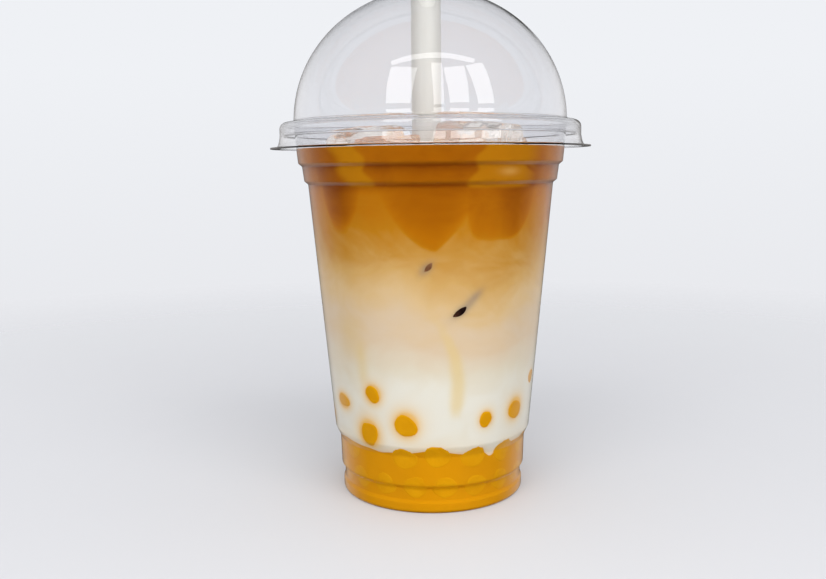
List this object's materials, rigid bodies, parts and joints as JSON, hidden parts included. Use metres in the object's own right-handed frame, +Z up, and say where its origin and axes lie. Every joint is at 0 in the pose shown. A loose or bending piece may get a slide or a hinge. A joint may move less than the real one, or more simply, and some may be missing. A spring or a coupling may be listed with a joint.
{
  "type": "bubble tea",
  "caption": "Tea layered over milk and popping pearls in a clear plastic cup, with floating ice, a clear dome lid with a snap ring and a wide straw.",
  "frame": {"origin": "middle of the base, on the surface the cup stands on", "axes": "+Z up along the cup's axis; the front, with the right-hand ice cube at its right, faces -Y"},
  "size_m": [0.102, 0.102, 0.2085],
  "materials": {
    "clear_cup": "clear thermoformed PET, glossy",
    "clear_lid": "clear thermoformed PET, glossy",
    "straw": "off-white, satin",
    "tea": "liquid, deep amber",
    "tea_milk": "liquid, tan running to cream",
    "milk": "liquid, milky white",
    "pearls": "soft orange pearls in syrup",
    "ice": "clear melting ice"
  },
  "bodies": {
    "root": {"cup": "clear_cup", "lid": "clear_lid", "straw": "straw", "tea": "tea", "tea_milk": "tea_milk", "milk": "milk", "pearl_bed": "pearls", "straw_tea": "tea", "ice_right": "ice", "ice_left": "ice", "ice_back_left": "ice", "ice_back_right": "ice"}
  },
  "joints": []
}
